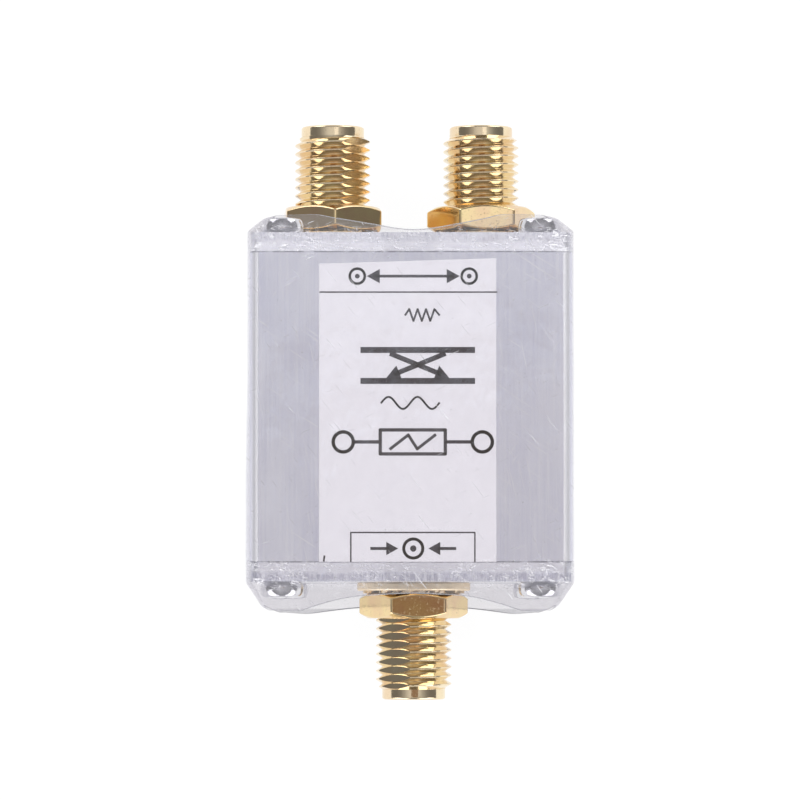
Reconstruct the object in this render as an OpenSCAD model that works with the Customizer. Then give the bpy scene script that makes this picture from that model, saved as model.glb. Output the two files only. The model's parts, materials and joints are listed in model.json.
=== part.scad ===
// Radio-frequency line sampler: an extruded aluminium box with two coaxial jacks on one end
// and one on the other, a paper label on its face and a clear shrunk film around it.
// It lies on its back with the label up. X runs across, Y along the jacks, Z up.

/* [Housing] */
// Outside width of the extruded tube
tube_w = 26.4; // [25:0.1:32]
// Outside height of the extruded tube
tube_h = 26.4; // [22:0.1:32]
// Length of the extruded tube
tube_len = 25.4; // [24:0.1:40]
// Thickness of the tube's walls
wall = 1.6; // [1.2:0.1:2.4]
// Radius of the tube's outside corners, which the plates share
corner_r = 0.8; // [0.4:0.1:1.4]
// Diameter of the four screw ports in the tube's corners
port_d = 4.6; // [4:0.1:5.4]

/* [End plates] */
// Thickness of each end plate
plate_t = 1.6; // [1:0.1:3]
// How far a plate's edges stand inside the tube's outline
plate_inset = 0.1; // [0:0.05:0.4]

/* [Screws] */
// Thread diameter of the plate screws
screw_d = 2; // [1.6:0.1:2.5]
// Length of a screw under its head
screw_len = 6; // [4:0.5:10]
// Diameter of a screw head
head_d = 3.6; // [3.2:0.1:4.2]
// Height of a screw head
head_h = 1.4; // [1.2:0.1:1.8]
// Height of the straight rim under a head's dome
head_rim_h = 0.95; // [0.2:0.05:1.05]
// Distance from the tube's sides to a screw's axis
screw_inset = 2.6; // [2.4:0.1:3.2]
// Span of the cross recess in a head
recess_span = 2; // [1.6:0.1:2.4]
// Width of each slot of the cross recess
recess_w = 0.5; // [0.3:0.05:0.7]
// Depth of the cross recess
recess_depth = 0.8; // [0.5:0.05:1]

/* [Jacks] */
// Distance between the two line jacks
jack_spacing = 12.5; // [11.6:0.1:13.2]
// How far the pair of line jacks sits off the tube's middle
line_jack_shift = -0.32; // [-0.5:0.01:0.5]
// How far the sample jack sits off the tube's middle
sample_jack_shift = 0.25; // [-0.5:0.01:0.5]
// Outside diameter of a jack's thread
thread_d = 6.35; // [6:0.05:6.6]
// Depth of the thread's groove
thread_depth = 0.43; // [0.3:0.01:0.5]
// Depth of the flat along one side of the thread
flat_depth = 0.43; // [0.3:0.01:0.65]
// Length that stands out past the nut
exposed_len = 6.8; // [5:0.05:10]
// Diameter of the plain lead-in at the mouth
tip_d = 5.3; // [5:0.05:5.6]
// Length of the plain lead-in
tip_len = 0.85; // [0.5:0.05:1.2]
// Diameter of the mouth that takes the plug's sleeve
mouth_d = 4.6; // [4.5:0.02:4.7]
// Depth of the mouth down to the insulator
mouth_depth = 1.95; // [1.5:0.05:2.5]
// Width across the flats of the flange inside the plate
flange_af = 8; // [7.6:0.1:8.4]
// Thickness of the flange
flange_t = 1.6; // [1.2:0.1:2.2]
// Diameter of the collar behind the flange
collar_d = 5.6; // [5:0.1:6]
// Length of the collar
collar_len = 1; // [0.6:0.1:1.6]
// Width of the nut across its flats
nut_af = 8; // [7.8:0.05:8.4]
// Thickness of the nut
nut_t = 2.1; // [1.6:0.05:2.6]
// Outside diameter of the lock washer
washer_d = 9.5; // [8.8:0.1:9.8]
// Thickness of the lock washer
washer_t = 0.9; // [0.4:0.05:1.1]
// Width of the washer's outer ring
washer_ring = 0.8; // [0.6:0.05:1]
// Teeth inside the washer
washer_teeth = 12; // [8:1:16]

/* [Jack core] */
// Diameter of the insulator
insulator_d = 4.13; // [3.8:0.01:4.3]
// Length of insulator that shows behind the collar
insulator_tail = 0.6; // [0.3:0.1:1.2]
// Diameter of the centre contact
contact_d = 1.27; // [1.2:0.01:1.5]
// Bore that takes the plug's pin
socket_d = 0.94; // [0.88:0.01:1]
// Depth of that bore
socket_depth = 2.9; // [2.4:0.1:3.4]
// Width of the slots that make the socket springy
socket_slot = 0.12; // [0.08:0.01:0.15]
// Length of the solder cup behind the insulator
cup_len = 3.2; // [2.6:0.1:3.6]
// Depth of the solder cup's bore
cup_depth = 2; // [1.4:0.1:2.2]

/* [Wiring] */
// Diameter of the wire that joins the line jacks
line_wire_d = 0.9; // [0.7:0.05:0.95]
// Bend radius at the corners of that wire
line_bend_r = 1.3; // [1:0.1:2]
// Distance from the solder cups to the wire's cross run
line_drop = 1.8; // [1.4:0.1:2.6]
// Lead diameter of the tap resistor
tap_lead_d = 0.7; // [0.5:0.05:0.85]
// Body diameter of the tap resistor
tap_body_d = 2.5; // [2:0.1:3.2]
// Body length of the tap resistor
tap_body_len = 6; // [4:0.1:7]
// Lead diameter of the load resistor
load_lead_d = 0.5; // [0.4:0.05:0.6]
// Body diameter of the load resistor
load_body_d = 1.8; // [1.4:0.1:2.2]
// Body length of the load resistor
load_body_len = 3.2; // [2.6:0.1:3.4]
// Distance from the sample jack's axis to the load resistor's
load_offset = 3.5; // [3.3:0.1:3.8]
// Radius of a solder joint at its widest
solder_r = 0.9; // [0.7:0.05:1]

/* [Label and film] */
// Width of the paper label
label_w = 14.5; // [10:0.1:20]
// Distance of the label's middle from the tube's middle
label_shift = -0.27; // [-1:0.01:1]
// Bare length above the label at its left edge
label_gap_left = 1; // [0.2:0.05:2]
// Bare length above the label at its right edge
label_gap_right = 0.55; // [0.2:0.05:2]
// Thickness of the label
label_t = 0.1; // [0.05:0.01:0.2]
// Thickness of the clear film
film_t = 0.2; // [0.1:0.05:0.4]
// Slack between the film and the tube's sides
film_slack = 0.15; // [0.05:0.05:0.3]
// Reach of the film's corners past the input plate
input_lip = 1.6; // [1.2:0.1:2.2]
// Reach of the film's corners past the sample plate
sample_lip = 2.2; // [1.6:0.1:3]
// How far the input lip dips between its corners
input_lip_dip = 1.4; // [0.2:0.05:1.5]
// How far the sample lip dips between its corners
sample_lip_dip = 1; // [0.2:0.05:1.4]
// How far the lips lean in at their ends
lip_lean = 1; // [0.5:0.1:1.4]

/* [Hidden] */
$fn = 96;
// Facets of the shapes that a film lip is stretched between
lip_fn = 32;
// Gap left at each push fit and thread
fit_gap = 0.02;
// Gap around a screw or a jack in a plate's hole
hole_gap = 0.1;
// Sliver by which cutting shapes pass the faces they cut
eps = 0.05;
// Slope of a nut's corner chamfers
chamfer_angle = 30;
// Share of a nut's width that its flat faces keep
nut_face_share = 0.96;
// Length of the bevel between the thread and its lead-in
thread_bevel = 0.35;
// Bevel at the mouth of a jack, and at the mouth of its contact
tip_bevel = 0.15;
contact_bevel = 0.12;
// Length of the slots in a contact
slot_len = 2;
// Clearance of a washer's teeth from the thread
tooth_gap = 0.15;
// Width of a washer's tooth
tooth_w = 0.8;
// Wall left at the foot of a cut-away solder cup
cup_foot = 0.5;
// Bulge of a resistor's end caps, and the length of a cap as a share of its body
cap_bulge = 0.15;
cap_share = 0.22;
// Bend radius of the load resistor's lead
load_bend_r = 0.7;
// Lead shown between the load resistor's body and its bend
load_lead_len = 0.4;
// Inside corner radius at the end of a film lip
lip_end_r = 0.4;

half_len = tube_len / 2;
plate_face = half_len + plate_t;
axis_z = film_t + tube_h / 2;
left_x = line_jack_shift - jack_spacing / 2;
right_x = line_jack_shift + jack_spacing / 2;
sample_x = sample_jack_shift;
load_x = sample_x + load_offset;
screw_x = tube_w / 2 - screw_inset;
screw_z = tube_h / 2 - screw_inset;

// Inside of the film, which lies on the label, on the tube's back and loosely at its sides
film_w = tube_w + 2 * film_slack;
film_h = tube_h + label_t;
film_r = corner_r + film_slack;

// Heights along a jack, from the inside face of its plate outwards
nut_seat = plate_t + washer_t;
nut_end = nut_seat + nut_t;
jack_end = nut_end + exposed_len;
mouth_floor = jack_end - mouth_depth;
collar_end = -flange_t - collar_len;
insulator_end = collar_end - insulator_tail;
cup_end = insulator_end - cup_len;

// The nut's thread and the jack's are drawn where their flanks meet, at half the groove's depth
thread_r = thread_d / 2;
engaged_r = thread_r - thread_depth / 2;
cup_bore_d = contact_d - 0.3;

// Turn of each jack's flat and of a corner of its nut, in degrees from the label's side,
// counter-clockwise as seen from outside the jack
left_flat_turn = 44;
left_nut_turn = 3.5;
right_flat_turn = 200;
right_nut_turn = 37;
sample_flat_turn = 36;
sample_nut_turn = 24;

// Angle at which the first screw of each plate stopped, and the step to the next one
input_screw_turn = 18;
sample_screw_turn = 52;
screw_turn_step = 31;

// Places of the wiring along Y
cup_mouth_y = half_len + cup_end;
line_y = cup_mouth_y - line_drop;
tap_top_y = line_y - line_wire_d / 2 - fit_gap;
tap_end_y = -cup_mouth_y - cup_depth + fit_gap * 5;
flange_face_y = -half_len + flange_t;
load_foot_y = flange_face_y + fit_gap;
load_body_y = -half_len - collar_end + load_lead_len;
load_bend_y = load_body_y + load_body_len + load_lead_len;
load_run_y = load_bend_y + load_bend_r;
tap_middle_y = (tap_top_y + load_run_y) / 2;

// Outline of the tube's section, in width and height
module rounded_rect(w, h, r) {
    square([w - 2 * r, h], center = true);
    square([w, h - 2 * r], center = true);
    for (x = [-1, 1], y = [-1, 1])
        translate([x * (w / 2 - r), y * (h / 2 - r)]) circle(r);
}

module at_screws() {
    for (x = [-1, 1], z = [-1, 1])
        translate([x * screw_x, z * screw_z]) children();
}

// Frames with the outward direction along local Z, local X towards the label, and the plate's
// inside face at zero
module at_input_end(x) {
    translate([x, half_len, axis_z]) rotate([-90, 0, 0]) rotate([0, 0, -90]) children();
}

module at_sample_end(x) {
    translate([x, -half_len, axis_z]) rotate([90, 0, 0]) rotate([0, 0, 90]) children();
}

module at_left_jack() {
    at_input_end(left_x) children();
}

module at_right_jack() {
    at_input_end(right_x) children();
}

module at_sample_jack() {
    at_sample_end(sample_x) children();
}

// Section drawn in X and Z, stretched along Y about y
module along_y(y, length) {
    translate([0, y, axis_z]) rotate([90, 0, 0]) linear_extrude(length, center = true) children();
}

// Straight round rod between two heights on the local Z axis
module rod(d, from, to) {
    translate([0, 0, min(from, to)]) cylinder(d = d, h = abs(to - from));
}

module housing_tube() {
    color("lightsteelblue") along_y(0, tube_len) difference() {
        rounded_rect(tube_w, tube_h, corner_r);
        difference() {
            square([tube_w - 2 * wall, tube_h - 2 * wall], center = true);
            at_screws() circle(d = port_d);
        }
        at_screws() circle(d = screw_d + 2 * fit_gap);
    }
}

// A plate with its corner holes, and holes for jacks at the listed places across it
module end_plate(y, jack_places) {
    color("silver") along_y(y, plate_t) difference() {
        rounded_rect(tube_w - 2 * plate_inset, tube_h - 2 * plate_inset, corner_r);
        at_screws() circle(d = screw_d + 2 * hole_gap);
        for (x = jack_places) translate([x, 0]) circle(d = thread_d + 2 * hole_gap);
    }
}

module input_end_plate() {
    end_plate(half_len + plate_t / 2, [left_x, right_x]);
}

module sample_end_plate() {
    end_plate(-half_len - plate_t / 2, [sample_x]);
}

// Domed screw with a cross recess, standing on the plate's outside face
module plate_screw() {
    dome_h = head_h - head_rim_h;
    dome_r = (pow(head_d / 2, 2) + pow(dome_h, 2)) / (2 * dome_h);
    rod(screw_d, plate_t - screw_len, plate_t + eps);
    translate([0, 0, plate_t]) difference() {
        intersection() {
            cylinder(d = head_d, h = head_h);
            translate([0, 0, head_h - dome_r]) sphere(dome_r);
        }
        translate([0, 0, head_h - recess_depth]) {
            for (a = [0, 90]) rotate([0, 0, a])
                translate([-recess_span / 2, -recess_w / 2, 0]) cube([recess_span, recess_w, head_h]);
            cylinder(d = recess_w * 2, h = head_h);
        }
    }
}

// Four screws of one plate, each stopped at its own angle
module screw_set(first_turn) {
    for (i = [0:3])
        translate([(i < 2 ? -1 : 1) * screw_z, (i % 2 == 0 ? -1 : 1) * screw_x, 0])
            rotate([0, 0, first_turn + screw_turn_step * i]) plate_screw();
}

module input_plate_screws() {
    color("gainsboro") at_input_end(0) screw_set(input_screw_turn);
}

module sample_plate_screws() {
    color("gainsboro") at_sample_end(0) screw_set(sample_screw_turn);
}

// Gold-plated outer body: flange, collar, thread with its flat, lead-in and mouth
module jack_shell(flat_turn) {
    color("goldenrod") difference() {
        union() {
            translate([0, 0, -flange_t]) rotate([0, 0, flat_turn])
                cylinder(d = flange_af / cos(30), h = flange_t, $fn = 6);
            rod(collar_d, collar_end, -flange_t + eps);
            rod(2 * engaged_r, -eps, nut_end);
            rod(thread_d, nut_end, jack_end - tip_len - thread_bevel);
            translate([0, 0, jack_end - tip_len - thread_bevel])
                cylinder(d1 = thread_d, d2 = tip_d, h = thread_bevel);
            rod(tip_d, jack_end - tip_len - eps, jack_end - tip_bevel);
            translate([0, 0, jack_end - tip_bevel])
                cylinder(d1 = tip_d, d2 = tip_d - 2 * tip_bevel, h = tip_bevel);
        }
        rod(insulator_d + 2 * fit_gap, collar_end - eps, mouth_floor + eps);
        rod(mouth_d, mouth_floor, jack_end + eps);
        rotate([0, 0, flat_turn])
            translate([thread_r - flat_depth, -thread_d, 0]) cube([thread_d, 2 * thread_d, jack_end + eps]);
    }
}

module jack_insulator() {
    color("white") difference() {
        rod(insulator_d, insulator_end, mouth_floor);
        rod(contact_d + 2 * fit_gap, insulator_end - eps, mouth_floor + eps);
    }
}

// Slotted socket in front, solder cup with half its wall cut away behind
module jack_contact() {
    cup_wall_top = cup_end + cup_depth - cup_foot;
    color("gold") difference() {
        rod(contact_d, cup_end, mouth_floor);
        rod(socket_d, mouth_floor - socket_depth, mouth_floor + eps);
        translate([0, 0, mouth_floor - contact_bevel])
            cylinder(d1 = socket_d, d2 = socket_d + 2 * contact_bevel, h = contact_bevel + eps);
        for (a = [0, 90]) rotate([0, 0, a + 45])
            translate([-contact_d, -socket_slot / 2, mouth_floor - slot_len])
                cube([2 * contact_d, socket_slot, slot_len + eps]);
        rod(cup_bore_d, cup_end - eps, cup_end + cup_depth);
        translate([0, -contact_d, cup_end - eps])
            cube([contact_d, 2 * contact_d, cup_wall_top - cup_end + eps]);
    }
}

// Internal-tooth lock washer
module jack_washer() {
    ring_r = washer_d / 2 - washer_ring;
    tooth_r = engaged_r + tooth_gap;
    color("khaki") translate([0, 0, plate_t]) linear_extrude(washer_t) {
        difference() {
            circle(d = washer_d);
            circle(ring_r);
        }
        for (i = [0:washer_teeth - 1]) rotate(i * 360 / washer_teeth) intersection() {
            translate([tooth_r, -tooth_w / 2]) square([washer_d / 2 - washer_ring / 2 - tooth_r, tooth_w]);
            circle(d = washer_d);
        }
    }
}

// Hexagon nut with both faces chamfered
module jack_nut(turn) {
    corner = nut_af / 2 / cos(30);
    face_r = nut_af / 2 * nut_face_share;
    cone_r = corner + eps;
    cone_h = (cone_r - face_r) * tan(chamfer_angle);
    color("goldenrod") translate([0, 0, nut_seat]) difference() {
        intersection() {
            rotate([0, 0, turn]) cylinder(r = corner, h = nut_t, $fn = 6);
            rotate_extrude() polygon([
                [0, 0], [face_r, 0], [cone_r, cone_h],
                [cone_r, nut_t - cone_h], [face_r, nut_t], [0, nut_t]
            ]);
        }
        rod(2 * (engaged_r + fit_gap), -eps, nut_t + eps);
    }
}

// Quarter bend of a round wire in the plane of the jacks, about the local origin
module bend(d, r) {
    rotate_extrude(angle = 90) translate([r, 0]) circle(d = d);
}

// Rod along Y between two places on a line at x
module rod_y(d, x, from, to) {
    translate([x, min(from, to), axis_z]) rotate([-90, 0, 0]) cylinder(d = d, h = abs(to - from));
}

// Rod along X between two places on a line at y
module rod_x(d, y, from, to) {
    translate([min(from, to), y, axis_z]) rotate([0, 90, 0]) cylinder(d = d, h = abs(to - from));
}

// Bare copper from one line jack's cup to the other's
module line_wire() {
    leg_end = cup_mouth_y + cup_depth - fit_gap * 5;
    color("peru") {
        for (side = [-1, 1]) {
            leg_x = side > 0 ? right_x : left_x;
            rod_y(line_wire_d, leg_x, line_y + line_bend_r, leg_end);
            translate([leg_x - side * line_bend_r, line_y + line_bend_r, axis_z])
                rotate([0, 0, side > 0 ? -90 : 180]) bend(line_wire_d, line_bend_r);
        }
        rod_x(line_wire_d, line_y, left_x + line_bend_r, right_x - line_bend_r);
    }
}

// Axial resistor's body along Y, with a bulged cap at each end
module resistor_body(x, y, length, d) {
    cap_len = length * cap_share;
    rod_y(d, x, y - length / 2, y + length / 2);
    for (side = [-1, 1])
        rod_y(d + 2 * cap_bulge, x, y + side * length / 2, y + side * (length / 2 - cap_len));
}

module tap_resistor() {
    color("cornflowerblue") {
        rod_y(tap_lead_d, sample_x, tap_end_y, tap_top_y);
        resistor_body(sample_x, tap_middle_y, tap_body_len, tap_body_d);
    }
}

// Lead from the sample jack's flange, round a bend and across to the tap's lead
module load_lead() {
    rod_y(load_lead_d, load_x, load_foot_y, load_bend_y);
    translate([load_x - load_bend_r, load_bend_y, axis_z]) bend(load_lead_d, load_bend_r);
    rod_x(load_lead_d, load_run_y, sample_x + tap_lead_d / 2 + fit_gap, load_x - load_bend_r);
}

module load_resistor() {
    color("tan") {
        load_lead();
        resistor_body(load_x, load_body_y + load_body_len / 2, load_body_len, load_body_d);
    }
}

// Fillet of solder around a lead along Y, from its wide end to its narrow one
module solder_fillet(x, from, to, wide_d, narrow_d) {
    translate([x, from, axis_z]) rotate([to > from ? -90 : 90, 0, 0])
        cylinder(d1 = wide_d, d2 = narrow_d, h = abs(to - from));
}

// Solder at the tap, at the sample contact's lead, and on the sample jack's flange
module solder_joints() {
    tap_hole_d = tap_lead_d + 2 * fit_gap;
    load_hole_d = load_lead_d + 2 * fit_gap;
    color("darkgray") {
        difference() {
            solder_fillet(sample_x, line_y, tap_top_y - solder_r, 2 * solder_r, tap_lead_d + solder_r / 2);
            rod_x(line_wire_d + 2 * fit_gap, line_y, sample_x - 2 * solder_r, sample_x + 2 * solder_r);
            rod_y(tap_hole_d, sample_x, tap_top_y - 2 * solder_r, line_y);
        }
        difference() {
            rod_y(2 * solder_r, sample_x, load_run_y - solder_r, load_run_y + solder_r);
            rod_y(tap_hole_d, sample_x, load_run_y - 2 * solder_r, load_run_y + 2 * solder_r);
            rod_x(load_hole_d, load_run_y, sample_x, sample_x + 2 * solder_r);
        }
        difference() {
            solder_fillet(
                load_x, load_foot_y, load_foot_y + solder_r,
                2 * solder_r, load_lead_d + solder_r / 2
            );
            rod_y(load_hole_d, load_x, flange_face_y, load_bend_y);
            rod_y(collar_d + 2 * fit_gap, sample_x, -half_len, -half_len - collar_end + fit_gap);
        }
    }
}

// Paper slip with its upper edge cut askew
module label() {
    left = label_shift - label_w / 2;
    right = label_shift + label_w / 2;
    color("whitesmoke") translate([0, 0, film_t + tube_h]) linear_extrude(label_t) polygon([
        [left, -half_len], [right, -half_len],
        [right, half_len - label_gap_right], [left, half_len - label_gap_left]
    ]);
}

// The film's section, grown outwards from the face that touches the tube, leaning in by a distance
module film_section(grow, lean, r) {
    translate([0, label_t / 2])
        rounded_rect(film_w + 2 * (grow - lean), film_h + 2 * (grow - lean), r + grow);
}

// Solid that leans in from the plate's face to the end of a lip
module lip_solid(grow, reach) {
    hull() {
        linear_extrude(eps) film_section(grow, 0, film_r, $fn = lip_fn);
        translate([0, 0, reach - eps]) linear_extrude(eps)
            film_section(grow, lip_lean, lip_end_r, $fn = lip_fn);
    }
}

// Film past a plate's face, with its edge dipping between the corners
module film_lip(reach, dip) {
    span_x = film_w / 2;
    span_z = film_h / 2;
    arc_x = (span_x * span_x + dip * dip) / (2 * dip);
    arc_z = (span_z * span_z + dip * dip) / (2 * dip);
    difference() {
        lip_solid(film_t, reach);
        translate([0, 0, -eps]) lip_solid(0, reach + 2 * eps);
        translate([0, 0, reach - dip + arc_x]) rotate([90, 0, 0])
            cylinder(r = arc_x, h = 2 * tube_h, center = true);
        translate([0, 0, reach - dip + arc_z]) rotate([0, 90, 0])
            cylinder(r = arc_z, h = 2 * tube_w, center = true);
    }
}

module clear_film() {
    color("aliceblue", 0.3) {
        along_y(0, 2 * plate_face) difference() {
            film_section(film_t, 0, film_r);
            film_section(0, 0, film_r);
        }
        translate([0, plate_face, axis_z]) rotate([-90, 0, 0]) mirror([0, 1, 0])
            film_lip(input_lip, input_lip_dip);
        translate([0, -plate_face, axis_z]) rotate([90, 0, 0]) film_lip(sample_lip, sample_lip_dip);
    }
}

housing_tube();
input_end_plate();
sample_end_plate();
input_plate_screws();
sample_plate_screws();
at_left_jack() jack_shell(left_flat_turn);  // left_jack_shell
at_left_jack() jack_insulator();  // left_jack_insulator
at_left_jack() jack_contact();  // left_jack_contact
at_left_jack() jack_washer();  // left_jack_washer
at_left_jack() jack_nut(left_nut_turn);  // left_jack_nut
at_right_jack() jack_shell(right_flat_turn);  // right_jack_shell
at_right_jack() jack_insulator();  // right_jack_insulator
at_right_jack() jack_contact();  // right_jack_contact
at_right_jack() jack_washer();  // right_jack_washer
at_right_jack() jack_nut(right_nut_turn);  // right_jack_nut
at_sample_jack() jack_shell(sample_flat_turn);  // sample_jack_shell
at_sample_jack() jack_insulator();  // sample_jack_insulator
at_sample_jack() jack_contact();  // sample_jack_contact
at_sample_jack() jack_washer();  // sample_jack_washer
at_sample_jack() jack_nut(sample_nut_turn);  // sample_jack_nut
line_wire();
tap_resistor();
load_resistor();
solder_joints();
label();
clear_film();
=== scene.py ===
import json
import math

import bmesh
import bpy
import numpy as np
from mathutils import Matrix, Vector

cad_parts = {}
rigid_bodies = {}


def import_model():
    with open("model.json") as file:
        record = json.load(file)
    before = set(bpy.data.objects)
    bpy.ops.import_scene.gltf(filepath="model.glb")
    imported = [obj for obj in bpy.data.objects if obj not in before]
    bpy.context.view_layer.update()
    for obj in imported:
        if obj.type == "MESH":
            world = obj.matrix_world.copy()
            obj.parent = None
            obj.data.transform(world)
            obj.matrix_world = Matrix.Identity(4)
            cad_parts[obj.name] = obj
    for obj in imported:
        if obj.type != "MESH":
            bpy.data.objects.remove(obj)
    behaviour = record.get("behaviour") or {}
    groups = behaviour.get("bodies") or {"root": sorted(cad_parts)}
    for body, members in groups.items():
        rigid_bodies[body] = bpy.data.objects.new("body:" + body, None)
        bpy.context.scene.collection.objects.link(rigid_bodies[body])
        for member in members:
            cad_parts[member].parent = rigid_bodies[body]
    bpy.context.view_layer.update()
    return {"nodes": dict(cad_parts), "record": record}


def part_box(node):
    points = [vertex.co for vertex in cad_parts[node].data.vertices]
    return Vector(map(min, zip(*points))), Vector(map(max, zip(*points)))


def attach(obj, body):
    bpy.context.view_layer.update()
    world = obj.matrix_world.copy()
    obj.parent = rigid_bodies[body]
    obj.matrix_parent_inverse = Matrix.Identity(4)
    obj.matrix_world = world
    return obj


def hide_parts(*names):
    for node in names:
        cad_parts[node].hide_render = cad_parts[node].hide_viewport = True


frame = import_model()

MM = 0.001
NODES = frame["nodes"]
MOUNTS = {m["name"]: m for m in frame["record"]["mounts"]}
ROOT = "root"


def node_box(node):
    """Lowest and highest corner of a CAD node, in millimetres."""
    lo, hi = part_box(node)
    return lo / MM, hi / MM


tube_lo, tube_hi = node_box("housing_tube")
HALF_W = tube_hi.x
HALF_LEN = tube_hi.y
FACE_Z = tube_hi.z
PLATE_FACE = node_box("input_end_plate")[1].y
PLATE_HALF = node_box("input_end_plate")[1].x
LABEL_LO, LABEL_HI = node_box("label")
FILM_LO, FILM_HI = node_box("clear_film")
AXIS_Z = MOUNTS["left_jack_thread"]["pos_m"][2] / MM
CORNER_R = 0.8
SCREW_AT = HALF_W - 2.6
SCREW_PLACES = [(sx * SCREW_AT, sy * SCREW_AT) for sx in (-1, 1) for sy in (-1, 1)]
QUARTERS = [(1, 1), (-1, 1), (-1, -1), (1, -1)]
SIDES = {"left": 1, "right": 1, "sample": -1}


def jack_x(jack):
    return MOUNTS[f"{jack}_jack_thread"]["pos_m"][0] / MM


# Meshes

def put(name, data):
    """A new object in the scene."""
    obj = bpy.data.objects.new(name, data)
    bpy.context.scene.collection.objects.link(obj)
    return obj


def clean(mesh, weld, thin):
    """Joins doubled points, drops slivers and turns the faces outwards."""
    bm = bmesh.new()
    bm.from_mesh(mesh)
    bmesh.ops.remove_doubles(bm, verts=bm.verts, dist=weld)
    bmesh.ops.dissolve_degenerate(bm, edges=bm.edges, dist=thin)
    bmesh.ops.recalc_face_normals(bm, faces=bm.faces)
    bm.to_mesh(mesh)
    bm.free()


def piece(name, verts, faces, material, node, smooth=None):
    """A mesh given in millimetres in the row frame, riding on the one body."""
    mesh = bpy.data.meshes.new(name)
    mesh.from_pydata((np.asarray(verts, float) * MM).tolist(), [], faces)
    clean(mesh, 1e-7, 1e-8)
    if smooth is not None:
        mesh.shade_smooth()
        mesh.set_sharp_from_angle(angle=math.radians(smooth))
    obj = put(name, mesh)
    mesh.materials.append(material)
    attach(obj, ROOT)
    if node:
        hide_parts(node)
    return obj


def bevel(obj, width, segments, angle):
    mod = obj.modifiers.new("edge", "BEVEL")
    mod.width = width * MM
    mod.segments = segments
    mod.limit_method = "ANGLE"
    mod.angle_limit = math.radians(angle)
    mod.harden_normals = True


def rings_to_faces(count, columns, first=0, closed=False):
    """Quads between rings of vertices that follow one another."""
    faces = []
    for j in range(count if closed else count - 1):
        a, b = first + j * columns, first + ((j + 1) % count) * columns
        for i in range(columns):
            k = (i + 1) % columns
            faces.append((a + i, a + k, b + k, b + i))
    return faces


def shifted(faces, first):
    """The faces of a mesh that is put behind so many vertices."""
    return [[first + k for k in face] for face in faces]


def lathe(profile, columns):
    """Vertices of a turned profile of (radius, height) pairs about local Z. Each may vary around it."""
    turn = np.arange(columns) * 2 * math.pi / columns
    return np.concatenate([np.column_stack([r * np.cos(turn), r * np.sin(turn), np.broadcast_to(h, columns)])
                           for r, h in profile])


def round_profile(points, radius, steps=3):
    """A polyline with each inner corner cut by a short arc, and a point just before and after it that keeps
    the straights flat."""
    pts = [np.array(p, float) for p in points]
    made = [pts[0]]
    for before, at, after in zip(pts, pts[1:], pts[2:]):
        to_a, to_b = before - at, after - at
        cut = min(radius, np.linalg.norm(to_a) * 0.4, np.linalg.norm(to_b) * 0.4)
        a = at + to_a / np.linalg.norm(to_a) * cut
        b = at + to_b / np.linalg.norm(to_b) * cut
        made.append(a + (a - at) * 0.2)
        for k in range(steps + 1):
            t = k / steps
            made.append((1 - t) ** 2 * a + 2 * t * (1 - t) * at + t * t * b)
        made.append(b + (b - at) * 0.2)
    return made + [pts[-1]]


def prism(loops, depth):
    """A flat outline with holes, in local X and Y, from zero to depth along local Z."""
    bm = bmesh.new()
    for loop in loops:
        made = [bm.verts.new((p[0], p[1], 0)) for p in loop]
        for a, b in zip(made, made[1:] + made[:1]):
            bm.edges.new((a, b))
    bmesh.ops.triangle_fill(bm, use_beauty=True, edges=bm.edges[:])
    ext = bmesh.ops.extrude_face_region(bm, geom=bm.faces[:])
    for v in ext["geom"]:
        if isinstance(v, bmesh.types.BMVert):
            v.co.z += depth
    bm.verts.index_update()
    verts = np.array([v.co[:] for v in bm.verts])
    faces = [[v.index for v in f.verts] for f in bm.faces]
    bm.free()
    return verts, faces


def circle(x, y, r, count):
    return [(x + r * math.cos(a), y + r * math.sin(a)) for a in np.arange(count) * 2 * math.pi / count]


def rounded_rect(half_x, half_y, r, steps=8):
    made = []
    for k, (sx, sy) in enumerate(QUARTERS):
        for a in np.linspace(k * math.pi / 2, (k + 1) * math.pi / 2, steps + 1):
            made.append((sx * (half_x - r) + r * math.cos(a), sy * (half_y - r) + r * math.sin(a)))
    return made


def to_end(verts, side, x=0.0):
    """Local X towards the label and local Z outwards, measured from the middle of the part."""
    return np.column_stack([x + side * verts[:, 1], side * verts[:, 2], AXIS_Z + verts[:, 0]])


def to_jack(verts, jack):
    return to_end(verts, SIDES[jack], jack_x(jack))


def cut_away(obj, tool):
    """The mesh with another one taken out of it."""
    mod = obj.modifiers.new("cut", "BOOLEAN")
    mod.operation = "DIFFERENCE"
    mod.solver = "EXACT"
    mod.object = tool
    bpy.context.view_layer.update()
    made = bpy.data.meshes.new_from_object(obj.evaluated_get(bpy.context.evaluated_depsgraph_get()))
    bpy.data.objects.remove(obj)
    bpy.data.objects.remove(tool)
    return made


def loose(name, verts, faces):
    """A mesh object for a cut, in millimetres, that isn't kept."""
    mesh = bpy.data.meshes.new(name)
    mesh.from_pydata(np.asarray(verts, float).tolist(), [], faces)
    clean(mesh, 1e-4, 1e-5)
    return put(name, mesh)


def mesh_arrays(mesh):
    return np.array([v.co[:] for v in mesh.vertices]), [list(p.vertices) for p in mesh.polygons]


# Materials

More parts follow.
